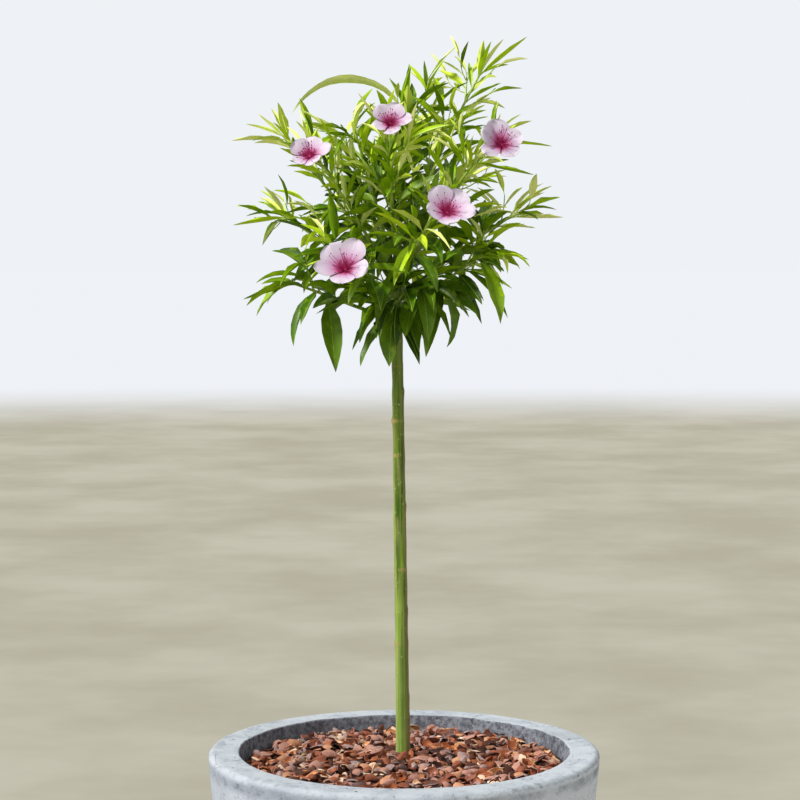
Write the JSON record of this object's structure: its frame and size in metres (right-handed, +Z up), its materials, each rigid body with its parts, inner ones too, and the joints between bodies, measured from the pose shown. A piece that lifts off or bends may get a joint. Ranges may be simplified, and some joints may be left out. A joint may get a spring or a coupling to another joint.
{
  "type": "potted dwarf peach tree",
  "caption": "Dwarf peach grown as a small standard in a round concrete planter: bare green stem, ball-shaped leafy crown with pink blossoms, shell mulch over the compost.",
  "frame": {"origin": "centre of the planter's flat underside, on the floor", "axes": "+Z up the stem, -Y to the front, from where the plant is seen"},
  "size_m": [0.39, 0.39, 1.0863],
  "materials": {
    "concrete": "blue-grey cast concrete with pits, chalky rim and stains",
    "mulch": "loose curled shell mulch, reddish brown to ochre",
    "green_bark": "smooth young green bark with tan leaf joints",
    "foliage": "long narrow leaves, yellow-green at the tips and dark green below",
    "petals": "thin pale pink petals, crimson at the middle"
  },
  "bodies": {
    "root": {"planter": "concrete", "filling": "mulch", "trunk": "green_bark", "bough_top_right": "green_bark", "bough_top_back": "green_bark", "bough_top_left": "green_bark", "bough_front_high": "green_bark", "bough_left_back": "green_bark", "bough_left_high": "green_bark", "bough_left_front": "green_bark", "bough_left_mid": "green_bark", "bough_left_low": "green_bark", "bough_front_left": "green_bark", "bough_front_right": "green_bark", "bough_right_high": "green_bark", "bough_right_mid": "green_bark", "bough_right_low": "green_bark", "bough_back_right": "green_bark", "bough_back_left": "green_bark", "bough_back_low": "green_bark", "foliage_leader": "foliage", "foliage_top_right": "foliage", "foliage_top_back": "foliage", "foliage_top_left": "foliage", "foliage_front_high": "foliage", "foliage_left_back": "foliage", "foliage_left_high": "foliage", "foliage_left_front": "foliage", "foliage_left_mid": "foliage", "foliage_left_low": "foliage", "foliage_front_left": "foliage", "foliage_front_right": "foliage", "foliage_right_high": "foliage", "foliage_right_mid": "foliage", "foliage_right_low": "foliage", "foliage_back_right": "foliage", "foliage_back_left": "foliage", "foliage_back_low": "foliage", "foliage_tuft_front": "foliage", "foliage_tuft_right": "foliage", "foliage_tuft_back": "foliage"}
  },
  "joints": []
}
